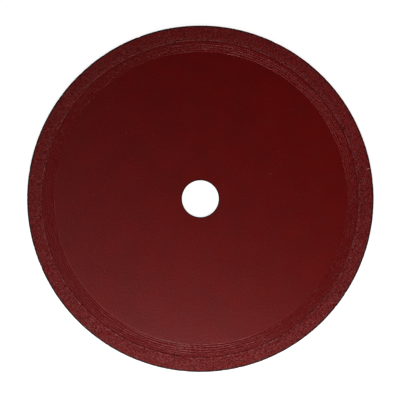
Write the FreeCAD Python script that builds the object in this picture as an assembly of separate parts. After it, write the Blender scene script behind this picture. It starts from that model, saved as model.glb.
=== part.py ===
import FreeCAD, Part
import math
import os

# Sintered diamond saw blade with an unbroken rim, for trimming stone on a wet saw.
# The blade lies flat. Its bore is on the Z axis, and the origin is the bore's centre, halfway through the
# blade's thickness. All sizes are in millimetres.
# A thin steel disc, the core, carries one ring of sintered metal powder and diamond grit, the rim. The rim
# stands proud of the core on both sides, so that only the rim rubs in the cut. Next to the rim the core is
# turned a little thinner, and a shallow groove runs along the foot of the rim.
# Inside the rim the core ends in a thinner tongue with dovetail notches. The powder is pressed round the
# tongue and into the notches, so that the rim can't be thrown off when the blade spins.

# Blade
BLADE_DIAMETER = 150.0
BORE_DIAMETER = 15.875          # five eighths of an inch, the arbor of small trim saws
BORE_CHAMFER = 0.10
CORE_THICKNESS = 0.80

# Sintered rim
RIM_DEPTH = 6.3                 # radial depth of the ring, which wears away in use
SIDE_CLEARANCE = 0.10           # how far each side of the rim stands proud of the core
RIM_OUTER_CHAMFER = 0.20        # the two cutting corners
RIM_INNER_CHAMFER = 0.06        # the corners where the rim drops to the core

# Turned relief between the flange area and the rim
RELIEF_WIDTH = 5.7
RELIEF_DEPTH = 0.04             # taken off each side of the core
RELIEF_RUNOUT = 0.15            # radial length of the slope that the tool leaves at the inner end
SEAM_GROOVE_WIDTH = 0.90
SEAM_GROOVE_RUNOUT = 0.30       # radial length of the slope on the groove's inner side
SEAM_GROOVE_DEPTH = 0.05

# Keyed edge of the core, inside the rim
SHOULDER_HEIGHT = 0.11          # from the bottom of the seam groove down to the tongue, on each side
TONGUE_LAND = 0.6               # tongue left whole between the seam and the notches
NOTCH_DEPTH = 1.6
NOTCH_MOUTH = 1.6               # width of a notch at the tongue's edge
NOTCH_ROOT = 2.4                # width of a notch at its bottom, where the powder locks in
NOTCH_PITCH = 12.0              # wanted distance from notch to notch along the edge
PUNCH_OVERRUN = 0.5             # how far the punch that cuts a notch reaches past the tongue's edge

# Places that follow from the sizes
BLADE_RADIUS = BLADE_DIAMETER / 2
BORE_RADIUS = BORE_DIAMETER / 2
SEAM_RADIUS = BLADE_RADIUS - RIM_DEPTH
RELIEF_RADIUS = SEAM_RADIUS - RELIEF_WIDTH
NOTCH_ROOT_RADIUS = SEAM_RADIUS + TONGUE_LAND
TONGUE_RADIUS = NOTCH_ROOT_RADIUS + NOTCH_DEPTH
NOTCH_COUNT = round(2 * math.pi * TONGUE_RADIUS / NOTCH_PITCH)

# Heights above the mid-plane, which are the depths below it too
CORE_FACE = CORE_THICKNESS / 2
RIM_FACE = CORE_FACE + SIDE_CLEARANCE
RELIEF_FACE = CORE_FACE - RELIEF_DEPTH
GROOVE_FACE = RELIEF_FACE - SEAM_GROOVE_DEPTH
TONGUE_FACE = GROOVE_FACE - SHOULDER_HEIGHT

CENTRE = FreeCAD.Vector(0, 0, 0)
AXIS = FreeCAD.Vector(0, 0, 1)
FULL_TURN = 360
SAME_PLACE = 1e-6


def turned(upper):
    """A disc or ring that is the same above and below: its half-section swept once round the axis.

    upper is the half-section's upper outline, a list of (radius, height) from the middle outwards."""
    lower = [(radius, -height) for radius, height in reversed(upper)]
    corners = [FreeCAD.Vector(radius, 0, height) for radius, height in upper + lower]
    section = Part.Face(Part.makePolygon(corners + corners[:1]))
    return section.revolve(CENTRE, AXIS, FULL_TURN)


def corner_edges(solid, radius, height):
    """The two round edges of one radius that lie at that height above and below the mid-plane."""
    found = []
    for edge in solid.Edges:
        if isinstance(edge.Curve, Part.Circle):
            off_radius = abs(edge.Curve.Radius - radius)
            off_height = abs(abs(edge.Curve.Center.z) - height)
            if max(off_radius, off_height) < SAME_PLACE:
                found.append(edge)
    return found


def core_disc():
    """The core before its notches: flange area, relief, seam groove, shoulder and tongue in one section."""
    return turned(
        [
            (BORE_RADIUS, CORE_FACE),
            (RELIEF_RADIUS, CORE_FACE),
            (RELIEF_RADIUS + RELIEF_RUNOUT, RELIEF_FACE),
            (SEAM_RADIUS - SEAM_GROOVE_WIDTH, RELIEF_FACE),
            (SEAM_RADIUS - SEAM_GROOVE_WIDTH + SEAM_GROOVE_RUNOUT, GROOVE_FACE),
            (SEAM_RADIUS, GROOVE_FACE),
            (SEAM_RADIUS, TONGUE_FACE),
            (TONGUE_RADIUS, TONGUE_FACE),
        ]
    )


def dovetail_punch():
    """One notch as a solid, on the X axis. Its sides go on at the same slope past the tongue's edge."""
    slope = (NOTCH_ROOT - NOTCH_MOUTH) / 2 / NOTCH_DEPTH
    end_radius = TONGUE_RADIUS + PUNCH_OVERRUN
    end_half = NOTCH_MOUTH / 2 - slope * PUNCH_OVERRUN
    corners = [
        FreeCAD.Vector(NOTCH_ROOT_RADIUS, -NOTCH_ROOT / 2, -CORE_FACE),
        FreeCAD.Vector(end_radius, -end_half, -CORE_FACE),
        FreeCAD.Vector(end_radius, end_half, -CORE_FACE),
        FreeCAD.Vector(NOTCH_ROOT_RADIUS, NOTCH_ROOT / 2, -CORE_FACE),
    ]
    outline = Part.Face(Part.makePolygon(corners + corners[:1]))
    return outline.extrude(AXIS * CORE_THICKNESS)


def notches():
    """All the notches, evenly spaced round the tongue."""
    punches = []
    for number in range(NOTCH_COUNT):
        punch = dovetail_punch()
        punch.rotate(CENTRE, AXIS, FULL_TURN * number / NOTCH_COUNT)
        punches.append(punch)
    return Part.Compound(punches)


def steel_core():
    """The finished core: notched round its edge, with both ends of the bore chamfered."""
    core = core_disc().cut(notches())
    return core.makeChamfer(BORE_CHAMFER, corner_edges(core, BORE_RADIUS, CORE_FACE))


def diamond_rim(core):
    """The ring that is pressed round the core's edge: it grips the tongue and fills the notches."""
    ring = turned([(SEAM_RADIUS, RIM_FACE), (BLADE_RADIUS, RIM_FACE)])
    ring = ring.makeChamfer(RIM_OUTER_CHAMFER, corner_edges(ring, BLADE_RADIUS, RIM_FACE))
    ring = ring.makeChamfer(RIM_INNER_CHAMFER, corner_edges(ring, SEAM_RADIUS, RIM_FACE))
    return ring.cut(core)


def export(name, shape):
    """Writes one piece to its STEP file, after a test that it is one closed solid."""
    if len(shape.Solids) != 1 or not shape.isValid():
        raise ValueError(f"{name} is not one valid solid")
    solid = shape.Solids[0]
    solid.exportStep(f"parts/{name}.step")
    print(name, "volume", round(solid.Volume, 1), "mm3, faces", len(solid.Faces))


def main():
    os.makedirs("parts", exist_ok=True)
    core = steel_core()
    export("steel_core", core)
    export("diamond_rim", diamond_rim(core))
    print("notches in the core's edge:", NOTCH_COUNT)


main()
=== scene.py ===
# %% [markdown]
# # A sintered diamond saw blade, lying flat
#
# The blade is a thin steel disc with an unbroken ring of sintered diamond grit round it, all under dark
# red paint. Nothing on it stands out, so it looks real only if small things are right: the lathe's lines
# in the turned band, the crumbly seam at the foot of the ring, the grain of the ring and the soft sheen
# of the paint. The solid model gives every size. This lesson puts a finely shaped skin in place of each
# of its two solids.

import math

import bpy
import numpy as np
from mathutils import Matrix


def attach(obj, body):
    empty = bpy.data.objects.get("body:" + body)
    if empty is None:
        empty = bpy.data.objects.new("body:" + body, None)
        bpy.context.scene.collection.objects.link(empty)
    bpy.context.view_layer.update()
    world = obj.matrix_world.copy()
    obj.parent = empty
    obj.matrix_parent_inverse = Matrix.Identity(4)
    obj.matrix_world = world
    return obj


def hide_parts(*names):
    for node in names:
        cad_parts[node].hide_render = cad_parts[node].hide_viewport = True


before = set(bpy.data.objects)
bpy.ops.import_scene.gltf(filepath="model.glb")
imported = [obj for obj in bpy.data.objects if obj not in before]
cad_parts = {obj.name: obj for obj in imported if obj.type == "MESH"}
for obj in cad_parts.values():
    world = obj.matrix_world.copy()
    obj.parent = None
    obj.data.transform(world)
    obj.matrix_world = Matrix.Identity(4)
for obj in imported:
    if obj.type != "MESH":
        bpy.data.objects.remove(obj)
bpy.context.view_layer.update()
print("solids:", sorted(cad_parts))

# %% [markdown]
# ## Sizes
#
# A designer's sizes shouldn't be typed twice. The corners of the two solids lie on circles round the Z
# axis, so the radius and height of each corner tell where the bore, the turned band, the seam and the
# ring are. If the solids change, the skins follow. Only the notches that hide inside the ring are named
# again here.

# %% Sizes read from the solids
MM = 0.001
SAME_PLACE = 0.001 * MM


def corners(node):
    """Distance from the Z axis and height of every corner of a solid, as two arrays in metres."""
    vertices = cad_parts[node].data.vertices
    points = np.empty(len(vertices) * 3, np.float32)
    vertices.foreach_get("co", points)
    x, y, z = points.reshape(-1, 3).astype(float).T
    return np.hypot(x, y), z


core_radii, core_heights = corners("steel_core")
rim_radii, rim_heights = corners("diamond_rim")
on_core_face = core_heights > core_heights.max() - SAME_PLACE

BLADE_RADIUS = rim_radii.max()
RIM_FACE = rim_heights.max()
CORE_FACE = core_heights.max()
BORE_RADIUS = core_radii.min()
BORE_CHAMFER = core_radii[on_core_face].min() - BORE_RADIUS
RELIEF_RADIUS = core_radii[on_core_face].max()
SEAM_RADIUS = rim_radii.min()
TONGUE_RADIUS = core_radii.max()

RELIEF_FACE = core_heights[core_radii > RELIEF_RADIUS + SAME_PLACE].max()
on_relief = abs(core_heights - RELIEF_FACE) < SAME_PLACE
RUNOUT_RADIUS = core_radii[on_relief].min()
GROOVE_RADIUS = core_radii[on_relief].max()

seam_heights = core_heights[abs(core_radii - SEAM_RADIUS) < SAME_PLACE]
GROOVE_FACE = seam_heights.max()
FLOOR_RADIUS = core_radii[abs(core_heights - GROOVE_FACE) < SAME_PLACE].min()
TONGUE_FACE = seam_heights[seam_heights > 0].min()

print("blade", round(2 * BLADE_RADIUS / MM, 2), "mm across, bore", round(2 * BORE_RADIUS / MM, 3), "mm")
print("turned band from", round(RELIEF_RADIUS / MM, 2), "to", round(SEAM_RADIUS / MM, 2), "mm")

# %% [markdown]
# ## Two tools: soft noise and a closed ring
#
# Every rough surface here starts as random numbers on a grid. White noise is too harsh, so it is blurred,
# and the blur is done with Fourier transforms because they treat the grid as endless: where the angle
# comes round to its start again, the relief joins up with no seam.
#
# Both pieces are rings whose section has no loose end. Such a ring is a grid that is joined to itself
# both ways, so it has no poles, no caps and no open edge.

# %% Soft noise
def soft_noise(shape, reach, seed):
    """Random relief with mean 0 and spread 1 that joins up with itself along both axes of the grid.

    White noise is blurred by a bell curve, whose spread along each axis is `reach`, counted in cells. In
    terms of waves, each wave shrinks by exp(-2 pi^2 f^2), where f is its waves per cell times the reach."""
    white = np.random.default_rng(seed).standard_normal(shape)
    along, across = (np.fft.fftfreq(cells) * cells_wide for cells, cells_wide in zip(shape, reach))
    shrink = np.exp(-2 * (math.pi * np.hypot(along[:, None], across[None, :])) ** 2)
    soft = np.fft.ifft2(np.fft.fft2(white) * shrink).real
    return (soft - soft.mean()) / soft.std()


def read_table(table, start, step, radius):
    """Reads each row of a table at its own radii, by straight lines from column to column.

    Column k of the table stands for the radius start + k step."""
    place = np.clip((radius - start) / step, 0, table.shape[1] - 1.001)
    column = place.astype(int)
    share = place - column
    row = np.arange(len(table))[:, None]
    return (1 - share) * table[row, column] + share * table[row, column + 1]


# %% A closed ring from three grids
def closed_ring(name, angle, radius, height):
    """A mesh piece from three grids, whose rows go round the Z axis and whose columns go round the section.

    The point in row i and column j is (radius cos angle, radius sin angle, height). Each four neighbours make
    a face, and the last row and column are joined to the first. The section runs clockwise, so faces look
    out."""
    rows, columns = radius.shape
    points = np.stack([radius * np.cos(angle), radius * np.sin(angle), height], axis=-1)
    row, column = np.meshgrid(np.arange(rows), np.arange(columns), indexing="ij")
    next_row, next_column = (row + 1) % rows, (column + 1) % columns
    faces = np.stack(
        [
            row * columns + column,
            row * columns + next_column,
            next_row * columns + next_column,
            next_row * columns + column,
        ],
        axis=-1,
    ).reshape(-1, 4)
    mesh = bpy.data.meshes.new(name)
    mesh.vertices.add(rows * columns)
    mesh.vertices.foreach_set("co", points.astype(np.float32).ravel())
    mesh.loops.add(faces.size)
    mesh.loops.foreach_set("vertex_index", faces.astype(np.int32).ravel())
    mesh.polygons.add(len(faces))
    mesh.polygons.foreach_set("loop_start", np.arange(0, faces.size, 4, dtype=np.int32))
    mesh.polygons.foreach_set("use_smooth", np.ones(len(faces), bool))
    mesh.update(calc_edges=True)
    piece = bpy.data.objects.new(name, mesh)
    bpy.context.scene.collection.objects.link(piece)
    print(name, "has", 2 * len(faces), "triangles")
    return piece


def add_value(piece, name, grid):
    """Keeps one number for each point of the piece, which its material reads by name."""
    value = piece.data.attributes.new(name, "FLOAT", "POINT")
    value.data.foreach_set("value", grid.astype(np.float32).ravel())


# %% [markdown]
# ## The notched tongue
#
# Inside the ring the core ends in a thin tongue with dovetail notches, and the powder of the ring fills
# them. None of it shows, but both skins should keep the form of the solids that they replace. The rows of
# the grid are led along the notched outline, so that a plain grid takes its shape.

# %% The tongue's outline
NOTCHES = 37
NOTCH_ROOT_RADIUS = SEAM_RADIUS + 0.6 * MM
NOTCH_ROOT = 2.4 * MM
NOTCH_MOUTH = 1.6 * MM
ROOT_SHARE = 0.15               # of a notch's share of the turn, each way from its middle: the root's rows
SIDE_SHARE = 0.20               # and from there to here, the rows on the dovetail's side


def tongue_outline(rows):
    """Angle and radius of the tongue's notched edge, one point for each row.

    Near a notch the points go straight along the root and straight out along the dovetail's side. From the
    mouth to the middle of the land they go round the axis at the tongue's full radius."""
    place = np.arange(rows) * NOTCHES / rows
    middle = np.round(place)
    share = place - middle
    marks = [0, ROOT_SHARE, SIDE_SHARE]
    mouth_x = math.sqrt(TONGUE_RADIUS**2 - (NOTCH_MOUTH / 2) ** 2)
    x = np.interp(abs(share), marks, [NOTCH_ROOT_RADIUS, NOTCH_ROOT_RADIUS, mouth_x])
    y = np.interp(abs(share), marks, [0, NOTCH_ROOT / 2, NOTCH_MOUTH / 2])
    mouth_turn = math.atan2(NOTCH_MOUTH / 2, mouth_x)
    land = np.interp(abs(share), [SIDE_SHARE, 0.5], [mouth_turn, math.pi / NOTCHES])
    on_land = abs(share) > SIDE_SHARE
    turn = np.where(on_land, land, np.arctan2(y, x))
    radius = np.where(on_land, TONGUE_RADIUS, np.hypot(x, y))
    return middle * 2 * math.pi / NOTCHES + np.sign(share) * turn, radius


# %% [markdown]
# ## The painted core
#
# The middle of the real disc is flat rolled steel. Beside the ring a lathe has turned it thinner, and its
# tool left lines about a millimetre apart, which the paint doesn't hide. They are why the band lights up
# at the two places where the lines lie across the light. A bump map could fake that from above, but the
# lines are coarse enough to be true shape, so they are modelled. Lines finer than the grid are left to
# the material. The tool moves out by one feed for each turn of the disc, so its ridges are evenly spaced,
# and where it chattered there are uneven lines between them. A thin disc never sits quite true on the
# lathe, so the lines are the sum of two cuts whose centres lie half a millimetre apart. Where the two
# sets of rings meet at a slant, lines fade, fork and join, as they do on the real one. Short dashes lie
# between them, where the tool tore the steel or the paint filled a line again. The paint also rounds off
# the step at the band's inner border, and partly fills the groove beside the ring.

# %% The core's turned lines
FEED = 0.94 * MM                # from one ridge to the next
RIDGE_HEIGHT = 0.022 * MM
LINE_REACH = 0.12 * MM          # half the width of one uneven line, about
LINE_HEIGHT = 0.004 * MM
LINE_TABLE_STEP = 0.02 * MM
HIGHEST_LINE = 0.035 * MM
LINE_WANDER = 0.3               # how much the strength of the lines changes round the blade
WANDER_PARTS = 24               # the whole turn over this is half a stretch of one strength, about
STRENGTH_LIMITS = (0.4, 1.7)
DASH_LENGTH = 1.6 * MM          # half of it, about
DASH_REACH = 0.11 * MM
DASH_HEIGHT = 0.005 * MM
# For each of the two cuts: how far its centre lies off the blade's, the direction of that, and its share
CUTS = ((0.10 * MM, 0.5, 0.9), (0.45 * MM, 2.2, 0.25))


def turned_lines(radius, angle, seed):
    """Height of the lathe's lines. Each cut is one profile along the radius, carried round its own centre.

    The profile is the cosine of 2 pi r / feed, and random lines. The radius from a centre that lies a
    little off, at distance e in direction d, is about r - e cos(angle - d). The dashes are noise that is
    blurred much further round the blade than across it. The strength of all lines changes slowly."""
    table_radius = np.arange(RELIEF_RADIUS - MM, SEAM_RADIUS + MM, LINE_TABLE_STEP)
    cell = 2 * math.pi * RELIEF_RADIUS / len(angle)
    torn_reach = (DASH_LENGTH / cell, DASH_REACH / LINE_TABLE_STEP)
    torn = soft_noise((len(angle), len(table_radius)), torn_reach, seed + len(CUTS) + 1)
    height = DASH_HEIGHT * read_table(torn, table_radius[0], LINE_TABLE_STEP, radius)
    for number, (off, direction, share) in enumerate(CUTS):
        uneven = soft_noise((len(table_radius), 1), (LINE_REACH / LINE_TABLE_STEP, 0), seed + number)[:, 0]
        profile = RIDGE_HEIGHT * np.cos(2 * math.pi * table_radius / FEED) + LINE_HEIGHT * uneven
        height += share * np.interp(radius - off * np.cos(angle - direction), table_radius, profile)
    wandering = soft_noise((len(angle), 1), (len(angle) / WANDER_PARTS, 0), seed + len(CUTS))
    strength = np.clip(1 + LINE_WANDER * wandering, *STRENGTH_LIMITS)
    return np.clip(strength * height, -HIGHEST_LINE, HIGHEST_LINE)


# %% The core's skin
CORE_ROWS = NOTCHES * 20
FLAT_RINGS = 12
BAND_RINGS = 42
GROOVE_RINGS = 8
EDGE_HOLD = 0.1 * MM            # rings this close to a corner keep its shading from spreading
PAINT_SPREAD = 0.35 * MM        # how far the paint draws out the slopes at the band's border and the groove
PAINT_FILL = 0.4                # the share of the groove's depth that the paint fills
LINE_FADE = 0.4 * MM            # over this distance before the groove, the paint buries the lines
LINES_LEFT = 0.2                # down to this share of their height
GROOVE_SHADE_SPILL = 0.6 * MM           # how far the painted shade of the groove spreads out of it
GROOVE_SHADE_LENGTH = 1.2 * MM          # half the length of one dash of painted shade, about
GROOVE_SHADE_REACH = 0.13 * MM
GROOVE_SHADE_MEAN = 0.13                # how dark the painted shade in the groove is, and how much that changes from place to place
GROOVE_SHADE_SWING = 0.25


def core_side(seed):
    """One side of the core as angle, radius, height, painted shade and line grids, from the bore to the
    tongue.
    """
    face_edge = BORE_RADIUS + BORE_CHAMFER
    visible = np.concatenate(
        [
            [BORE_RADIUS, face_edge],
            np.linspace(face_edge + EDGE_HOLD, RELIEF_RADIUS - EDGE_HOLD, FLAT_RINGS),
            np.linspace(RELIEF_RADIUS, GROOVE_RADIUS, BAND_RINGS),
            np.linspace(GROOVE_RADIUS, SEAM_RADIUS, GROOVE_RINGS + 1)[1:],
        ]
    )
    slope_end = RUNOUT_RADIUS + PAINT_SPREAD
    groove = [GROOVE_RADIUS - PAINT_SPREAD, FLOOR_RADIUS + PAINT_SPREAD / 2]
    section_radii = [BORE_RADIUS, face_edge, RELIEF_RADIUS, slope_end, *groove, SEAM_RADIUS]
    filled = GROOVE_FACE + PAINT_FILL * (RELIEF_FACE - GROOVE_FACE)
    section_heights = [CORE_FACE - BORE_CHAMFER, CORE_FACE, CORE_FACE, *[RELIEF_FACE] * 2, *[filled] * 2]
    round_the_axis = np.arange(CORE_ROWS)[:, None] * 2 * math.pi / CORE_ROWS
    edge_angle, edge_radius = tongue_outline(CORE_ROWS)

    radius = np.tile(np.append(visible, [SEAM_RADIUS, 0]), (CORE_ROWS, 1))
    radius[:, -1] = edge_radius
    angle = np.tile(round_the_axis, (1, radius.shape[1]))
    angle[:, -1] = edge_angle
    height = np.interp(radius, section_radii, section_heights)
    height[:, -2:] = TONGUE_FACE
    lined_radii = [RELIEF_RADIUS, slope_end, GROOVE_RADIUS - LINE_FADE, GROOVE_RADIUS]
    in_band = np.interp(radius, lined_radii, [0, 1, 1, LINES_LEFT])
    in_band[:, -2:] = 0
    lines = in_band * turned_lines(radius, round_the_axis, seed)
    # Painted shade: the groove is painted darker in broken dashes, and a little beside it.
    table_radius = np.arange(GROOVE_RADIUS - MM, SEAM_RADIUS + MM, LINE_TABLE_STEP)
    reach = (GROOVE_SHADE_LENGTH * CORE_ROWS / (2 * math.pi * SEAM_RADIUS), GROOVE_SHADE_REACH / LINE_TABLE_STEP)
    table = soft_noise((CORE_ROWS, len(table_radius)), reach, seed + 9)
    broken = read_table(table, table_radius[0], LINE_TABLE_STEP, radius)
    in_groove = np.interp(radius, [GROOVE_RADIUS - GROOVE_SHADE_SPILL, FLOOR_RADIUS], [0, 1])
    groove_shade = in_groove * np.clip(GROOVE_SHADE_MEAN + GROOVE_SHADE_SWING * broken, 0, 1)
    return angle, radius, height + lines, groove_shade, lines / HIGHEST_LINE


def both_sides(side, first_seed, second_seed):
    """Joins two sides of a piece into one closed section.

    The first side stays as it is, and the second is turned upside down and its columns reversed."""
    upper, lower = side(first_seed), side(second_seed)
    grids = [np.concatenate([top, under[:, ::-1]], axis=1) for top, under in zip(upper, lower)]
    half = upper[0].shape[1]
    grids[2][:, half:] *= -1
    return grids


angle, radius, height, groove_shade, lines = both_sides(core_side, 11, 23)
core = closed_ring("painted_core", angle, radius, height)
core.data.set_sharp_from_angle(angle=math.radians(35))
add_value(core, "groove_shade", groove_shade)
add_value(core, "line", lines)

# %% [markdown]
# ## The sintered ring
#
# The ring is metal powder and diamond grit, pressed in a mould and baked onto the steel. Under its thin
# paint it is grainy all over, with a pit here and there, and its outer corners are a little rounded and
# nicked. A picture of grain on a smooth ring would stay flat under a low light, so the coarser grain, the
# pits and the nicks are shape here. The finest grain is left to the material.

# %% The ring's grid
RIM_ROWS = NOTCHES * 36
SEAM_RINGS = 9                  # close together, for the crest and the moat
FACE_RINGS = 14
SEAM_ZONE = 1.15 * MM           # radial width of what the close rings cover
INNER_CORNER_RINGS = 4
OUTER_CORNER_RINGS = 5
MID_EDGE = 0.08 * MM            # height of the last ring of points beside mid-edge
row_spacing = 2 * math.pi * BLADE_RADIUS / RIM_ROWS
print("the ring has", RIM_ROWS, "rows of points,", round(row_spacing / MM, 2), "mm apart at its edge")

# %% Nicks, chips and lumps
NICKS = (120, 0.4 * MM, 0.14 * MM)                  # count, width and depth of nicks in the outer corner
CHIPS = (26, 0.5 * MM, 0.2 * MM)                    # the same of chips that go through from side to side
RIM_CHIP_SEED = 5
BEAD_PITCH = 1.3 * MM           # from one lump of the crest to the next


def bites(angle, places, widths, depths):
    """Depth of small bites out of an edge, for each row.

    Each bite is a bell curve round its own place, and where they meet, the deepest counts."""
    apart = np.angle(np.exp(1j * (angle - places)))
    return (depths * np.exp(-((apart * BLADE_RADIUS / widths) ** 2))).max(axis=1, keepdims=True)


def nicks(angle, count, width, depth, seed):
    """Chance bites at random places, few of them deep."""
    random = np.random.default_rng(seed)
    places = random.uniform(-math.pi, math.pi, count)
    widths = width * random.uniform(0.5, 1.5, count)
    depths = depth * random.uniform(0.2, 1, count) ** 2
    return bites(angle, places, widths, depths)


def beads(angle, seed):
    """Dents between the lumps of the crest: evenly spaced, then each moved and weakened by chance."""
    random = np.random.default_rng(seed)
    count = round(2 * math.pi * SEAM_RADIUS / BEAD_PITCH)
    places = (np.arange(count) + random.uniform(-0.25, 0.25, count)) * 2 * math.pi / count
    return bites(angle, places, BEAD_PITCH * random.uniform(0.18, 0.32, count), random.uniform(0, 1, count))


# %% The grain
GRAIN_STEP = 0.1 * MM           # column width of the tables that hold the grain
GRAIN_DEPTH = 0.12 * MM
MEAN_GRAIN = 0.30               # how much of that depth there is on average, and at most
DEEPEST_GRAIN = 1.2
LUMP_REACH = 0.8 * MM           # three sizes of blobs, each half a blob's width, about, with their strengths
LUMP_SHARE = 0.02
COARSE_REACH = 0.32 * MM
COARSE_SHARE = 0.04
FINE_REACH = 0.15 * MM
FINE_SHARE = 0.15
PIT_REACH = 0.18 * MM
PIT_LEVEL = 2.5                 # there is a pit only where its noise is above this
PIT_DEPTH = 0.10 * MM


def grain_noise(reach, radius, seed):
    """Noise on the ring's face whose blobs are as wide both ways, whatever the spacing of the rings."""
    start = SEAM_RADIUS - MM
    columns = round((BLADE_RADIUS + MM - start) / GRAIN_STEP)
    cell = 2 * math.pi * BLADE_RADIUS / RIM_ROWS
    table = soft_noise((RIM_ROWS, columns), (reach / cell, reach / GRAIN_STEP), seed)
    return read_table(table, start, GRAIN_STEP, radius)


def rim_relief(radius, seed):
    """How deep each point lies below the ring's smooth form, in metres: lumps, grains, and pits in places."""
    lumps = LUMP_SHARE * grain_noise(LUMP_REACH, radius, seed + 7)
    coarse = COARSE_SHARE * grain_noise(COARSE_REACH, radius, seed)
    fine = FINE_SHARE * grain_noise(FINE_REACH, radius, seed + 1)
    grain = np.clip(MEAN_GRAIN - lumps - coarse - fine, 0, DEEPEST_GRAIN)
    pit = np.clip(grain_noise(PIT_REACH, radius, seed + 2) - PIT_LEVEL, 0, 1)
    return GRAIN_DEPTH * grain + PIT_DEPTH * pit


# %% [markdown]
# ## The seam
#
# Where the ring meets the steel, some powder was squeezed out of the mould. It creeps in over the seam
# groove, further in some places than in others, and stands up as a thin broken crest. On the crest's outer
# side there is a shallow moat full of crumbs. They draw broken lines of light and shade round the blade.
# They are noise too, but it is drawn out along the seam.

# %% Crumbs and waves beside the seam
CRUMB_STEP = 0.04 * MM          # column width of the table that holds the crumbs
CRUMB_LENGTH = 0.6 * MM         # half the length of one crumb, about
CRUMB_REACH = 0.12 * MM


def crumbs(radius, seed):
    """Noise beside the seam, blurred further round the blade than across it: crumbs drawn out into dashes."""
    start = SEAM_RADIUS - MM
    columns = round((BLADE_RADIUS + MM - start) / CRUMB_STEP)
    cell = 2 * math.pi * SEAM_RADIUS / RIM_ROWS
    table = soft_noise((RIM_ROWS, columns), (CRUMB_LENGTH / cell, CRUMB_REACH / CRUMB_STEP), seed)
    return read_table(table, start, CRUMB_STEP, radius)


def along_the_seam(length, seed):
    """Noise that changes only round the blade, with one value for each row, in stretches of that length."""
    return soft_noise((RIM_ROWS, 1), (length * RIM_ROWS / (2 * math.pi * SEAM_RADIUS), 0), seed)


# %% How much of the crest is left
CREST_LENGTH = 1.2 * MM         # half the length of an unbroken piece of the crest, about
CREST_DRIFT = 9 * MM            # half the length of a stretch where more of it is left, or less, about
CREST_MEAN = 0.5                # how much of the crest is left, and how much each of the two changes that
CREST_SWING = 0.45
CREST_DRIFT_SWING = 0.25
DENT_SHARE = 0.6                # how much of the crest a dent between two lumps takes away


def crest_share(turn, seed):
    """How much of the crest is left in each row, from 0 to 1: a mean and two noises, less by its dents."""
    whole = CREST_MEAN + CREST_SWING * along_the_seam(CREST_LENGTH, seed + 8)
    whole += CREST_DRIFT_SWING * along_the_seam(CREST_DRIFT, seed + 10)
    return np.clip(whole, 0, 1) * (1 - DENT_SHARE * beads(turn, seed + 5))


# %% [markdown]
# ## The ring's skin
#
# The skin starts as a smooth section: a slope that climbs out of the groove, a flat face and a round
# corner. The rings of points lie closest at the seam, where most happens. Then every point is pushed
# inwards by its relief, never outwards, so the ring keeps inside the size of the solid. Two numbers for
# each point go to the material: how deep its grain lies, and how much it shows of the pale strip along
# the crest, which is rubbed paint and a painted highlight.

# %% The ring's smooth section
LIP_REACH = 0.55 * MM           # the furthest that the ring creeps in over the seam groove
LIP_MEAN = 0.75                 # the share of that reach that it has, and how much the share changes
LIP_SWING = 0.13
LIP_WAVE = 5 * MM               # the length of its long waves, and of the short ones on top
LIP_RIPPLE = 0.4 * MM
RIPPLE_SHARE = 0.8
INNER_REACH = 0.40 * MM         # radial width of the slope from the groove up to the crest
BEAD_DENT = 0.06 * MM           # how much wider that slope is where no crest is left
OUTER_ROUND = 0.22 * MM


def smooth_section(turn, crest_left, seed):
    """The ring before its relief, as radius, height and tilt grids, from its foot in the groove to mid-edge.

    The inner slope climbs to the face as the square of a sine does from 0 to 1, and the outer corner is a
    quarter of a circle. The tilt is the angle from straight up to the direction that looks out."""
    wobble = along_the_seam(LIP_WAVE, seed + 3) + RIPPLE_SHARE * along_the_seam(LIP_RIPPLE, seed + 4)
    foot = SEAM_RADIUS - LIP_REACH * np.clip(LIP_MEAN + LIP_SWING * wobble, 0, 1)
    foot_height = GROOVE_FACE * np.ones_like(foot)
    inner_reach = INNER_REACH + BEAD_DENT * (1 - crest_left)
    outer_round = OUTER_ROUND + nicks(turn, *NICKS, seed + 6)
    chips = nicks(turn, *CHIPS, RIM_CHIP_SEED)

    climb = np.linspace(0, 1, INNER_CORNER_RINGS + 1)[None, 1:]
    wall = RIM_FACE - foot_height
    inner_tilt = -np.arctan(math.pi / 2 * np.sin(math.pi * climb) * wall / inner_reach)
    outer_tilt = np.linspace(0, math.pi / 2, OUTER_CORNER_RINGS)[None, :]
    inside = foot + inner_reach
    outside = BLADE_RADIUS - chips - outer_round
    near_seam = inside + SEAM_ZONE * np.linspace(0, 1, SEAM_RINGS + 1)[None, 1:]
    across = np.linspace(0, 1, FACE_RINGS + 2)[None, 1:-1]
    face = np.concatenate([near_seam, near_seam[:, -1:] + (outside - near_seam[:, -1:]) * across], axis=1)
    level = np.ones_like(turn)

    radius = [
        foot,
        foot + inner_reach * climb,
        face,
        outside + outer_round * np.sin(outer_tilt),
        BLADE_RADIUS - chips,
    ]
    height = [
        foot_height,
        foot_height + wall * np.sin(math.pi / 2 * climb) ** 2,
        RIM_FACE * np.ones_like(face),
        RIM_FACE - outer_round * (1 - np.cos(outer_tilt)),
        MID_EDGE * level,
    ]
    tilt = [
        -math.pi / 2 * level,
        inner_tilt,
        np.zeros_like(face),
        outer_tilt * level,
        math.pi / 2 * level,
    ]
    return [np.concatenate(parts, axis=1) for parts in (radius, height, tilt)]


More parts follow.
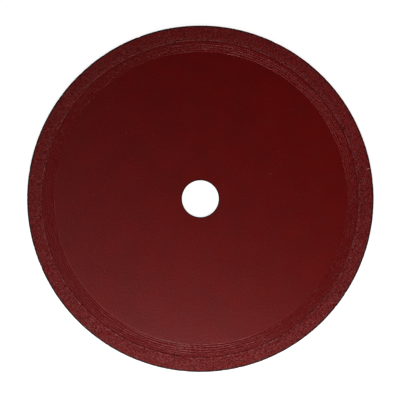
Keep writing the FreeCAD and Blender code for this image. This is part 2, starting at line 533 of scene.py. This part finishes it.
# %% The ring's relief
CREST_MIDDLE = -0.05 * MM       # this middle and the others here are measured from the seam
CREST_REACH = 0.20 * MM
CREST_DROP = 0.03 * MM          # how much lower the ring lies where the crest is broken off
CREST_WORN = 0.8                # how much smoother the grain is on the crest
MOAT_MIDDLE = 0.72 * MM
MOAT_REACH = 0.26 * MM
MOAT_DEPTH = 0.08 * MM
MOAT_LENGTH = 2 * MM            # half the length of an open piece of it, about
MOAT_MEAN = 0.65                # how much of the moat is open, and how much that changes
MOAT_SWING = 0.4
CRUMB_MIDDLE = 0.30 * MM
CRUMB_SPREAD = 0.50 * MM
CRUMB_DEPTH = 0.035 * MM
CRUMB_LEVEL = 0.2               # there is a gap between crumbs where their noise is below this
DEEPEST_GAP = 2.5
RUBBED_HIGHLIGHT_MIDDLE = 0.25 * MM       # the pale strip of rubbed paint and painted highlight runs over the crest and down its outer side
RUBBED_HIGHLIGHT_REACH = 0.45 * MM
RUBBED_HIGHLIGHT_LEAST = 0.5              # how much of it shows where the crest is broken off
RUBBED_HIGHLIGHT_MEAN = 0.6               # how much of it shows, and how much the crumbs change that
RUBBED_HIGHLIGHT_SWING = 0.5


def bell(from_seam, middle, reach):
    """A bell curve across the ring: 1 at its middle, and exp(-1) at its reach from there."""
    return np.exp(-(((from_seam - middle) / reach) ** 2))


def relief_grids(radius, crest_left, seed):
    """How deep each point is pushed in, how deep its grain is, and how much of the crest's pale strip of worn
    paint and painted highlight shows there.

    The push is the sum of the grain, the moat, the drop where the crest is broken off, and the gaps between
    crumbs. Each but the grain is a bell curve across the ring, times a noise."""
    from_seam = radius - SEAM_RADIUS
    on_crest = bell(from_seam, CREST_MIDDLE, CREST_REACH)
    in_moat = bell(from_seam, MOAT_MIDDLE, MOAT_REACH)
    in_crumbs = bell(from_seam, CRUMB_MIDDLE, CRUMB_SPREAD)
    moat_left = np.clip(MOAT_MEAN + MOAT_SWING * along_the_seam(MOAT_LENGTH, seed + 9), 0, 1)
    crumb = crumbs(radius, seed + 11)
    grain = rim_relief(radius, seed) * (1 - CREST_WORN * on_crest)
    moat = MOAT_DEPTH * in_moat * (1 - on_crest) * moat_left
    relief = grain + moat + CREST_DROP * on_crest * (1 - crest_left)
    relief += CRUMB_DEPTH * in_crumbs * np.clip(CRUMB_LEVEL - crumb, 0, DEEPEST_GAP)
    relief[:, 0] = 0
    strip = bell(from_seam, RUBBED_HIGHLIGHT_MIDDLE, RUBBED_HIGHLIGHT_REACH)
    rubbed_highlight = (RUBBED_HIGHLIGHT_LEAST + (1 - RUBBED_HIGHLIGHT_LEAST) * crest_left) * strip
    rubbed_highlight *= np.clip(RUBBED_HIGHLIGHT_MEAN + RUBBED_HIGHLIGHT_SWING * crumb, 0, 1)
    return relief, grain / GRAIN_DEPTH, rubbed_highlight


# %% The ring's skin
def rim_side(seed):
    """One side of the ring as angle, radius, height, hollow and crest grids, from its recess to mid-edge.

    Each point of the smooth section moves by its relief against the direction that looks out there. The
    recess that the tongue fills is three more points in each row, before the others."""
    turn = np.arange(RIM_ROWS)[:, None] * 2 * math.pi / RIM_ROWS
    crest_left = crest_share(turn, seed)
    radius, height, tilt = smooth_section(turn, crest_left, seed)
    relief, hollow, crest = relief_grids(radius, crest_left, seed)
    radius = radius - relief * np.sin(tilt)
    height = height - relief * np.cos(tilt)

    recess_angle, recess_radius = tongue_outline(RIM_ROWS)
    hidden_radius = np.stack([recess_radius, *([np.full(RIM_ROWS, SEAM_RADIUS)] * 2)], axis=1)
    hidden_height = np.tile([TONGUE_FACE, TONGUE_FACE, GROOVE_FACE], (RIM_ROWS, 1))
    unseen = np.zeros((RIM_ROWS, 3))
    radius = np.concatenate([hidden_radius, radius], axis=1)
    height = np.concatenate([hidden_height, height], axis=1)
    angle = np.tile(turn, (1, radius.shape[1]))
    angle[:, 0] = recess_angle
    hollow = np.concatenate([unseen, hollow], axis=1)
    return angle, radius, height, hollow, np.concatenate([unseen, crest], axis=1)


angle, radius, height, hollow, crest = both_sides(rim_side, 41, 67)
rim = closed_ring("sintered_rim", angle, radius, height)
rim.data.set_sharp_from_angle(angle=math.radians(75))
add_value(rim, "hollow", hollow)
add_value(rim, "crest", crest)
print("ring from", round(radius.min() / MM, 3), "to", round(radius.max() / MM, 3), "mm from the axis")

# %% [markdown]
# ## A short way to write materials
#
# Materials are trees of small nodes. Wiring them by hand takes many lines, so one helper makes a node,
# sets its values and plugs other nodes into it.

# %% Material helper
def plug(tree, kind, settings=None, **inputs):
    """Adds a node to the tree. `settings` are its options, and each input is a number, colour or socket."""
    node = tree.nodes.new(kind)
    for option, choice in (settings or {}).items():
        setattr(node, option, choice)
    for label, value in inputs.items():
        socket = node.inputs[int(label[1:])] if label[0] == "_" else node.inputs[label.replace("_", " ")]
        if isinstance(value, bpy.types.NodeSocket):
            tree.links.new(value, socket)
        else:
            socket.default_value = value
    return node


def point_value(tree, name):
    """The socket of the number that the piece keeps for each of its points under that name."""
    return plug(tree, "ShaderNodeAttribute", {"attribute_name": name}).outputs["Fac"]


def math_of(tree, operation, first, second=0.0):
    """The result socket of one sum, product or comparison of two numbers or sockets."""
    return plug(tree, "ShaderNodeMath", {"operation": operation}, _0=first, _1=second).outputs[0]


def vector_of(tree, operation, first, second=(0, 0, 0)):
    """The result socket of one sum, difference or product of two vectors, or of one vector made 1 long."""
    return plug(tree, "ShaderNodeVectorMath", {"operation": operation}, _0=first, _1=second).outputs[0]


def scaled(tree, vector, factor):
    """The result socket of a vector times a number."""
    return plug(tree, "ShaderNodeVectorMath", {"operation": "SCALE"}, _0=vector, Scale=factor).outputs[0]


def length_of(tree, vector):
    """The result socket of a vector's length."""
    return plug(tree, "ShaderNodeVectorMath", {"operation": "LENGTH"}, _0=vector).outputs["Value"]


def ramp(tree, value, low, high, start=0.0, end=1.0):
    """Turns a value that runs from low to high into one from start to end, softly, and no further."""
    settings = {"interpolation_type": "SMOOTHSTEP"}
    inputs = {"Value": value, "From_Min": low, "From_Max": high, "To_Min": start, "To_Max": end}
    return plug(tree, "ShaderNodeMapRange", settings, **inputs).outputs[0]


def blend_colours(tree, share, first, second):
    """A colour between two colours."""
    node = plug(tree, "ShaderNodeMix", {"data_type": "RGBA"}, _0=share)
    for socket, colour in ((node.inputs[6], first), (node.inputs[7], second)):
        if isinstance(colour, bpy.types.NodeSocket):
            tree.links.new(colour, socket)
        else:
            socket.default_value = (*colour, 1)
    return node.outputs[2]


def new_material(name):
    """An empty material: its tree, its shader, the place on the piece and the distance from the axis."""
    material = bpy.data.materials.new(name)
    material.use_nodes = True
    tree = material.node_tree
    shader = tree.nodes["Principled BSDF"]
    place = plug(tree, "ShaderNodeTexCoord").outputs["Object"]
    distance = length_of(tree, vector_of(tree, "MULTIPLY", place, (1, 1, 0)))
    return material, tree, shader, place, distance


def noise(tree, place, size, detail=2.0):
    """Cloudy noise from 0 to 1 whose blobs are about that size, in the units of the place."""
    return plug(tree, "ShaderNodeTexNoise", Vector=place, Scale=1 / size, Detail=detail).outputs[0]


# %% [markdown]
# ## Marks
#
# A few marks on the real blade can be told apart: short scratches, grains of dust under the paint, and
# one bright scrape at the ring's edge. Each is a thin ellipse at its own place on the upper side. A
# Mapping node carries the surface into the ellipse's own frame, where the ellipse is a ball of radius 1,
# so one distance says how near it is. The same tool makes one wide soft patch at the far right, a painted
# highlight that makes the band and the ring redder there.

# %% A mark
MARK_DEPTH = 0.2 * MM           # how far above and below a face its marks still count
PAINTED_HIGHLIGHT_PATCH = (39.7, 52.7, 140.0, 110.0, -37.0)      # across, up, length, width and slant of the wide patch of painted highlight


def mark(tree, place, x, y, length, width, slant, face):
    """How much of a mark there is at a place, from 0 to 1. Sizes are in millimetres, and slant in degrees."""
    settings = {"vector_type": "TEXTURE"}
    location = (x * MM, y * MM, face)
    size = (length / 2 * MM, width / 2 * MM, MARK_DEPTH)
    turn = (0, 0, math.radians(slant))
    ellipse = {"Vector": place, "Location": location, "Rotation": turn, "Scale": size}
    own = plug(tree, "ShaderNodeMapping", settings, **ellipse).outputs[0]
    return ramp(tree, length_of(tree, own), 1.0, 0.5)


def all_marks(tree, place, marks, face):
    """The strongest of several marks, each weighed by its own strength."""
    strongest = 0.0
    for x, y, length, width, slant, strength in marks:
        one = math_of(tree, "MULTIPLY", mark(tree, place, x, y, length, width, slant, face), strength)
        strongest = math_of(tree, "MAXIMUM", one, strongest)
    return strongest


# %% [markdown]
# ## Relief finer than the grid
#
# Some of the real relief is finer than a light model can hold, so the materials make it, in three ways.
# Fine turned lines are noise that is drawn out round the axis, and go in as a bump. Torn steel and grit
# show little facets, so each cell of a random pattern leans its own way by chance. And the feed of a lathe
# leaves the steel as fine saw teeth, whose long sides lean towards the axis. Their short sides are too
# steep to be seen from above, so the normal leans by as much as the long sides do.

# %% Helpers for fine relief
def drawn_round(tree, place, distance, length, width):
    """Coordinates in which noise comes out drawn round the axis: one unit is that long and that wide.

    The direction away from the axis, times a radius over the length, goes round one circle, so noise that is
    read there joins up with itself. The distance from the axis over the width is the third coordinate."""
    outwards = vector_of(tree, "NORMALIZE", vector_of(tree, "MULTIPLY", place, (1, 1, 0)))
    along = scaled(tree, outwards, RELIEF_RADIUS / length)
    across = plug(tree, "ShaderNodeCombineXYZ", _2=math_of(tree, "DIVIDE", distance, width)).outputs[0]
    return vector_of(tree, "ADD", along, across)


def grains(tree, place, size):
    """A random colour for each little cell of that size. It stands for three chance numbers from 0 to 1."""
    return plug(tree, "ShaderNodeTexVoronoi", Vector=place, Scale=1 / size, Randomness=1.0).outputs["Color"]


def facets(tree, cells, tilt):
    """A vector for each cell that leans it its own way, by up to half of `tilt` to each side, in radians."""
    return scaled(tree, vector_of(tree, "SUBTRACT", cells, (0.5, 0.5, 0.5)), tilt)


def leaned_normal(tree, place, lean, scatter):
    """The surface's normal, tilted towards the piece's Z axis by that many radians, then by the facets."""
    inwards = vector_of(tree, "NORMALIZE", vector_of(tree, "MULTIPLY", place, (-1, -1, 0)))
    from_piece = {"vector_type": "VECTOR", "convert_from": "OBJECT", "convert_to": "WORLD"}
    inwards = plug(tree, "ShaderNodeVectorTransform", from_piece, Vector=inwards).outputs[0]
    normal = plug(tree, "ShaderNodeNewGeometry").outputs["Normal"]
    tilted = vector_of(tree, "ADD", normal, scaled(tree, inwards, lean))
    return vector_of(tree, "NORMALIZE", vector_of(tree, "ADD", tilted, scatter))


def bumped(tree, height, normal):
    """The normal of a surface that is raised by that height, in metres, on top of a normal that it has."""
    return plug(tree, "ShaderNodeBump", Strength=1.0, Distance=1.0, Height=height, Normal=normal).outputs[0]


# %% [markdown]
# ## Paint on the core
#
# The red is very dark: paint reflects a tenth of the red light and almost none of the green and blue.
# What makes it look like paint and not like plastic is a broad soft sheen, the faint orange peel of
# sprayed enamel, a few specks of dust caught in it, and thin scratches. In the turned band the paint lies
# thin over bright steel, and a little of the steel's own gleam comes through tinted red. All three kinds
# of fine relief are there: lines that are broken into dashes or as thin as a hair, the facets of steel
# that the tool tore, and the teeth of its feed. In the groove beside the ring and at the bore's edge the
# paint's colour is darker: painted shade.

# %% The core's paint
CORE_RED = (0.109, 0.0013, 0.0008)
CLOUD_RED = (0.094, 0.0011, 0.0008)
BAND_RED = (0.112, 0.0008, 0.0006)
# Painted highlight, for the wide patch at the far right of the band.
PATCH_HIGHLIGHT_RED = (0.135, 0.0010, 0.0010)
# Painted shade, for the groove beside the ring and the bore's edge.
SHADE_RED = (0.040, 0.0016, 0.0016)
SPECK_RED = (0.17, 0.035, 0.035)
CLOUD_SIZE = 12 * MM
PEEL_SIZE = 0.6 * MM
PEEL_HEIGHT = 0.085 * MM
DUST_SPACING = 7 * MM
DUST_HEIGHT = 0.03 * MM
DUST_CELLS = (0.86, 0.88)       # cells whose chance number is above these hold a speck
DUST_RADIUS = (0.035, 0.02)     # where a speck begins to show and where it is full, in cells from its middle
MARK_SHOWS = 0.8                # how much of a mark's own colour shows
BORE_SHADE = (0.8 * MM, 0.3 * MM)                    # painted shade begins and is full at these distances from the bore
SATIN = (0.35, 0.38)            # the paint's least and greatest roughness
SATIN_SIZE = 6 * MM
CORE_GLOSS = 0.31               # how strongly the paint mirrors, where 0.5 is plain varnish
STEEL_SHARE = 0.15              # of the light that comes back off the band
BAND_ROUGHER = 0.015            # how much rougher the band is than the flat
DASH_LINES = (9.0 * MM, 0.28 * MM, 0.12 * MM)       # length, width and height of the fine dashes
HAIR_LINES = (12.0 * MM, 0.16 * MM, 0.05 * MM)      # the same of lines as thin as a hair
TORN_SIZE = 0.30 * MM
TORN_TILT = 0.22                # how far the facets of torn steel lean, from side to side, in radians
LINE_SHADING_TINT = 0.10                # painted highlight on the highest line and painted shade in the lowest: how much redder and duller
FEED_LEAN = 0.11                # how far the teeth of the lathe's feed lean towards the axis, in radians
# Across, up, length, width, slant and strength of each mark on the core
CORE_MARKS = (
    (-32.0, 28.6, 1.4, 0.45, 88, 1.0),
    (30.0, 10.9, 3.4, 0.35, -3, 0.7),
    (33.9, 20.4, 1.8, 0.30, 4, 0.4),
    (-49.8, -19.2, 0.7, 0.55, 20, 0.9),
    (-48.6, -20.1, 0.5, 0.40, 70, 0.7),
    (-44.6, -32.9, 0.6, 0.45, 40, 0.7),
    (32.6, -18.4, 0.6, 0.45, -30, 0.9),
    (-12.9, 0.5, 0.5, 0.40, 0, 0.6),
    (9.6, 6.1, 0.9, 0.35, -35, 0.6),
    (10.4, 7.6, 0.6, 0.35, -50, 0.5),
    (-44.3, 5.9, 0.6, 0.40, 60, 0.6),
    (-37.4, -28.7, 0.7, 0.40, 15, 0.5),
)


def core_paint():
    """Satin enamel, with dust, scratches, painted shade and highlights, and the finest of the turned lines.
    """
    material, tree, shader, place, distance = new_material("core_paint")
    cloud = ramp(tree, noise(tree, place, CLOUD_SIZE, 5), 0.3, 0.7)
    red = blend_colours(tree, cloud, CORE_RED, CLOUD_RED)
    band = ramp(tree, distance, RELIEF_RADIUS, RUNOUT_RADIUS + PAINT_SPREAD)
    # Painted highlight: in a wide patch at the far right the band is painted redder.
    patch_highlight = mark(tree, place, *PAINTED_HIGHLIGHT_PATCH, CORE_FACE)
    line_here = point_value(tree, "line")
    # Painted highlight and shade: the band is painted redder on its high lines and duller in its low ones.
    line_shading = math_of(tree, "ADD", math_of(tree, "MULTIPLY", line_here, LINE_SHADING_TINT), 1.0)
    band_red = blend_colours(tree, patch_highlight, BAND_RED, PATCH_HIGHLIGHT_RED)
    red = blend_colours(tree, band, red, scaled(tree, band_red, line_shading))

    cells = plug(tree, "ShaderNodeTexVoronoi", Vector=place, Scale=1 / DUST_SPACING, Randomness=1.0)
    chance = plug(tree, "ShaderNodeSeparateColor", _0=cells.outputs["Color"]).outputs[0]
    speck = ramp(tree, cells.outputs["Distance"], *DUST_RADIUS)
    dust = math_of(tree, "MULTIPLY", ramp(tree, chance, *DUST_CELLS), speck)
    marks = math_of(tree, "MAXIMUM", dust, all_marks(tree, place, CORE_MARKS, CORE_FACE))
    red = blend_colours(tree, math_of(tree, "MULTIPLY", marks, MARK_SHOWS), red, SPECK_RED)

    # Painted shade: darker in the groove beside the ring and at the bore's edge.
    groove_shade_here = point_value(tree, "groove_shade")
    bore = ramp(tree, distance, BORE_RADIUS + BORE_SHADE[0], BORE_RADIUS + BORE_SHADE[1])
    red = blend_colours(tree, math_of(tree, "MAXIMUM", groove_shade_here, bore), red, SHADE_RED)
    tree.links.new(red, shader.inputs["Base Color"])

    satin = ramp(tree, noise(tree, place, SATIN_SIZE, 4), 0.25, 0.75, *SATIN)
    rougher = math_of(tree, "MULTIPLY", band, BAND_ROUGHER)
    tree.links.new(math_of(tree, "ADD", satin, rougher), shader.inputs["Roughness"])
    tree.links.new(math_of(tree, "MULTIPLY", band, STEEL_SHARE), shader.inputs["Metallic"])
    shader.inputs["Specular IOR Level"].default_value = CORE_GLOSS

    peel = math_of(tree, "MULTIPLY", noise(tree, place, PEEL_SIZE, 2), PEEL_HEIGHT)
    turned = 0.0
    for length, width, line_height in (DASH_LINES, HAIR_LINES):
        drawn = drawn_round(tree, place, distance, length, width)
        fine = math_of(tree, "SUBTRACT", noise(tree, drawn, 1, 1), 0.5)
        turned = math_of(tree, "ADD", math_of(tree, "MULTIPLY", fine, line_height), turned)
    lined = math_of(tree, "MULTIPLY", band, ramp(tree, distance, GROOVE_RADIUS, GROOVE_RADIUS - LINE_FADE))
    turned = math_of(tree, "MULTIPLY", turned, lined)
    raised = math_of(tree, "MULTIPLY", marks, DUST_HEIGHT)
    surface = math_of(tree, "ADD", math_of(tree, "ADD", peel, turned), raised)
    torn = facets(tree, grains(tree, place, TORN_SIZE), math_of(tree, "MULTIPLY", band, TORN_TILT))
    leaned = leaned_normal(tree, place, math_of(tree, "MULTIPLY", band, FEED_LEAN), torn)
    tree.links.new(bumped(tree, surface, leaned), shader.inputs["Normal"])
    return material


core.data.materials.append(core_paint())
print("core_paint has", len(core.data.materials[0].node_tree.nodes), "nodes")

# %% [markdown]
# ## Paint on the ring
#
# The same paint looks duller on the ring, because it lies on grit: the light leaves it in every
# direction. The grains of grit are about a quarter of a millimetre wide, too many to model one by one. So
# a random pattern of cells gives each of them a tone, from a painted shade as if in a gap to a painted
# highlight as if on a top, and a face that looks its own way. The deepest of the modelled hollows get
# painted shade too, and a finer grain is added as a bump. Beside the seam the crumbs are drawn out round
# the blade, and lean by chance as the grains do. The ring was dressed with a stone that was fed across it,
# so its face leans as the band's does, but less. The crest beside the seam is painted paler: rubbed paint
# and a painted highlight. The very edge of the ring is painted darker, as painted shade.

# %% The ring's paint
RIM_RED = (0.112, 0.0026, 0.0026)
# Painted highlight, for the same patch on the ring.
RIM_PATCH_HIGHLIGHT_RED = (0.130, 0.0036, 0.0038)
# Painted shade, for the dark grains and the deepest hollows.
HOLLOW_SHADE_RED = (0.048, 0.0010, 0.0010)
# Painted highlight, for the pale grains.
TOP_HIGHLIGHT_RED = (0.170, 0.0120, 0.0120)
# Paler paint along the crest: worn paint and a painted highlight.
RUBBED_HIGHLIGHT_RED = (0.155, 0.028, 0.028)
# Painted shade, along the ring's rounded outer edge.
EDGE_SHADE_RED = (0.014, 0.0006, 0.0012)
GRAIN_SIZE = 0.28 * MM
GRAIN_TILT = 0.60               # how far the facets of the grains lean, from side to side, in radians
CRUMB_SIZE = (1.3 * MM, 0.4 * MM)
CRUMB_TILT = 0.4                # and those of the crumbs at the crest
CRUMBS_END = (1.1 * MM, 0.6 * MM)                   # they are gone and whole at these distances from the seam
EDGE_SHADE = (0.85 * MM, 0.45 * MM)                  # the painted shade begins and is full this far inside the edge
GRIT_SIZE = 0.20 * MM
GRIT_HEIGHT = 0.030 * MM
RIM_LEAN = 0.07                 # how far the dressed face leans towards the axis, in radians
RIM_ROUGHNESS = 0.48
RIM_GLOSS = 0.17                # on the same scale as the core's
SCRAPE_RED = (0.36, 0.11, 0.09)
RIM_MARKS = ((72.55, 13.0, 2.0, 0.5, 24, 1.0),)


def rim_paint():
    """Dull enamel on grit, with painted shade in the hollows and at the cutting edge, and paler along the
    crest, as worn paint and a painted highlight.
    """
    material, tree, shader, place, distance = new_material("rim_paint")
    hollow_here = point_value(tree, "hollow")
    rubbed_highlight_here = point_value(tree, "crest")
    cells = grains(tree, place, GRAIN_SIZE)
    tone = plug(tree, "ShaderNodeSeparateColor", _0=cells).outputs[2]
    # Painted highlight: the ring is painted redder in the same wide patch.
    red = blend_colours(tree, mark(tree, place, *PAINTED_HIGHLIGHT_PATCH, RIM_FACE), RIM_RED, RIM_PATCH_HIGHLIGHT_RED)
    # Painted shade and highlight: dark and pale grains, and darker where the modelled grain is deep.
    red = blend_colours(tree, ramp(tree, tone, 0.5, 0.0), red, HOLLOW_SHADE_RED)
    red = blend_colours(tree, ramp(tree, tone, 0.5, 1.0), red, TOP_HIGHLIGHT_RED)
    red = blend_colours(tree, ramp(tree, hollow_here, 0.5, 1.0), red, HOLLOW_SHADE_RED)
    # Worn paint and painted highlight: the strip along the crest is painted paler.
    rubbed_highlight = math_of(tree, "MULTIPLY", rubbed_highlight_here, ramp(tree, tone, 0.1, 0.6))
    red = blend_colours(tree, rubbed_highlight, red, RUBBED_HIGHLIGHT_RED)
    # Painted shade: the ring is painted darker at its outer edge.
    edge = ramp(tree, distance, BLADE_RADIUS - EDGE_SHADE[0], BLADE_RADIUS - EDGE_SHADE[1])
    red = blend_colours(tree, edge, red, EDGE_SHADE_RED)
    red = blend_colours(tree, all_marks(tree, place, RIM_MARKS, RIM_FACE), red, SCRAPE_RED)
    tree.links.new(red, shader.inputs["Base Color"])
    shader.inputs["Roughness"].default_value = RIM_ROUGHNESS
    shader.inputs["Specular IOR Level"].default_value = RIM_GLOSS
    grit = math_of(tree, "MULTIPLY", noise(tree, place, GRIT_SIZE, 3), GRIT_HEIGHT)
    near_crest = ramp(tree, distance, SEAM_RADIUS + CRUMBS_END[0], SEAM_RADIUS + CRUMBS_END[1], 0, CRUMB_TILT)
    loose = facets(tree, grains(tree, drawn_round(tree, place, distance, *CRUMB_SIZE), 1), near_crest)
    scatter = vector_of(tree, "ADD", facets(tree, cells, GRAIN_TILT), loose)
    leaned = leaned_normal(tree, place, RIM_LEAN, scatter)
    tree.links.new(bumped(tree, grit, leaned), shader.inputs["Normal"])
    return material


rim.data.materials.append(rim_paint())
print("rim_paint has", len(rim.data.materials[0].node_tree.nodes), "nodes")

# %% [markdown]
# ## What each piece stands for
#
# Both skins ride on the one body of the blade, and each takes the place of its solid.

# %% Pieces on the frame
for piece, node, paint in ((core, "steel_core", "core_paint"), (rim, "diamond_rim", "rim_paint")):
    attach(piece, "root")
    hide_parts(node)

# %% [markdown]
# ## Floor
#
# The blade lies on a white sheet. For the camera, and in what glossy or clear surfaces show, most of the
# floor's brightness is a light of its own, and only the rest comes from the lamps. So it reaches white
# and no more, which keeps the outline crisp, and the blade still casts its shadow. All other rays see a
# plain pale floor, so the blade isn't lit by it more than by real paper.

# %% Floor
FLOOR_HALF = 1.5
FLOOR_PALE = (0.80, 0.80, 0.80, 1)
SEEN_PALE = (0.22, 0.22, 0.22, 1)
FLOOR_GLOW = 0.92


def sees_background(tree):
    """1 for a ray from the camera, off a glossy surface or through a clear one, and 0 for the rest."""
    rays = plug(tree, "ShaderNodeLightPath").outputs
    mirrored = math_of(tree, "MAXIMUM", rays["Is Glossy Ray"], rays["Is Transmission Ray"])
    return math_of(tree, "MAXIMUM", rays["Is Camera Ray"], mirrored)


def pale_floor():
    """A flat square under the blade, at the height of the ring's lower side."""
    level = -RIM_FACE
    corner = [(-1, -1), (1, -1), (1, 1), (-1, 1)]
    mesh = bpy.data.meshes.new("floor")
    mesh.from_pydata([(FLOOR_HALF * x, FLOOR_HALF * y, level) for x, y in corner], [], [(0, 1, 2, 3)])
    floor = bpy.data.objects.new("floor", mesh)
    bpy.context.scene.collection.objects.link(floor)
    material = bpy.data.materials.new("pale_floor")
    material.use_nodes = True
    tree = material.node_tree
    tree.nodes.clear()
    paper = plug(tree, "ShaderNodeBsdfDiffuse", Color=FLOOR_PALE).outputs[0]
    seen_paper = plug(tree, "ShaderNodeBsdfDiffuse", Color=SEEN_PALE).outputs[0]
    glow = plug(tree, "ShaderNodeEmission", Strength=FLOOR_GLOW).outputs[0]
    bright = plug(tree, "ShaderNodeAddShader", _0=seen_paper, _1=glow).outputs[0]
    seen = plug(tree, "ShaderNodeMixShader", _0=sees_background(tree), _1=paper, _2=bright).outputs[0]
    output = plug(tree, "ShaderNodeOutputMaterial")
    tree.links.new(seen, output.inputs["Surface"])
    mesh.materials.append(material)


pale_floor()

# %% [markdown]
# ## Light
#
# The photograph says where the lamps stood. The red of the paint grows steadily from the far side to the
# near one, so the main lamp is on the near side and close. The whitish sheen is strongest on the near
# left, so a weaker lamp hangs high on that side. On the far right the rough parts, the turned band and
# the ring, are redder than those two make them, so a last small lamp grazes the blade from there. Its
# light is red, because the sheen is least there. The world is dark overhead and pale round the horizon,
# as in a studio with white walls. Straight down, the paint mirrors the dark ceiling and stays deep. Seen
# from low down it mirrors the walls, and shines.

# %% Light
def soft_lamp(name, azimuth, elevation, distance, size, power, colour=(1, 1, 1)):
    """A square lamp that looks at the blade. Azimuth 0 is the picture's lower edge, 90 degrees its right."""
    turn, lift = math.radians(azimuth), math.radians(elevation)
    lamp = bpy.data.lights.new(name, "AREA")
    lamp.shape = "SQUARE"
    lamp.size = size
    lamp.energy = power
    lamp.color = colour
    holder = bpy.data.objects.new(name, lamp)
    holder.location = (
        distance * math.sin(turn) * math.cos(lift),
        -distance * math.cos(turn) * math.cos(lift),
        distance * math.sin(lift),
    )
    holder.rotation_euler = (math.radians(90 - elevation), 0, turn)
    bpy.context.scene.collection.objects.link(holder)


soft_lamp("near_lamp", azimuth=-1.6, elevation=34.7, distance=0.26, size=0.15, power=0.86)
soft_lamp("high_lamp", azimuth=-60, elevation=56, distance=1.2, size=0.4, power=2.45)
LAMP_RED = (1, 0.25, 0.22)
soft_lamp("grazing_lamp", azimuth=122, elevation=8, distance=0.25, size=0.06, power=0.33, colour=LAMP_RED)

# %% World
HORIZON_GLOW = 0.435
GLOW_BOTTOM = 0.02              # heights on a ball of radius 1 between which the walls fade into the dark
GLOW_TOP = 0.37


def studio_world():
    """Pale walls under a dark ceiling, which the camera sees as plain white."""
    world = bpy.data.worlds.new("studio")
    bpy.context.scene.world = world
    world.use_nodes = True
    tree = world.node_tree
    direction = plug(tree, "ShaderNodeTexCoord").outputs["Generated"]
    up = plug(tree, "ShaderNodeSeparateXYZ", _0=direction).outputs["Z"]
    walls = ramp(tree, up, GLOW_BOTTOM, GLOW_TOP, HORIZON_GLOW, 0)
    camera_ray = plug(tree, "ShaderNodeLightPath").outputs["Is Camera Ray"]
    tree.nodes["Background"].inputs["Color"].default_value = (1, 1, 1, 1)
    tree.links.new(math_of(tree, "MAXIMUM", walls, camera_ray), tree.nodes["Background"].inputs["Strength"])


studio_world()

# %% [markdown]
# ## Camera
#
# The photograph looks straight down on the blade from far away. The blade is a little over 346 pixels
# across in a picture of 400, and its centre lies a hair right of the middle and above it.

# %% Camera
PICTURE_WIDTH = 172.95 * MM     # what the 400 pixels span at the ring's upper face
LENS = 100
SENSOR = 36
CAMERA_OFF_AXIS = (-0.15 * MM, -0.53 * MM)
camera_data = bpy.data.cameras.new("overhead")
camera_data.lens = LENS
camera_data.sensor_width = SENSOR
camera = bpy.data.objects.new("overhead", camera_data)
camera.location = (*CAMERA_OFF_AXIS, RIM_FACE + PICTURE_WIDTH * LENS / SENSOR)
bpy.context.scene.collection.objects.link(camera)
bpy.context.scene.camera = camera
bpy.context.scene.view_settings.view_transform = "Standard"
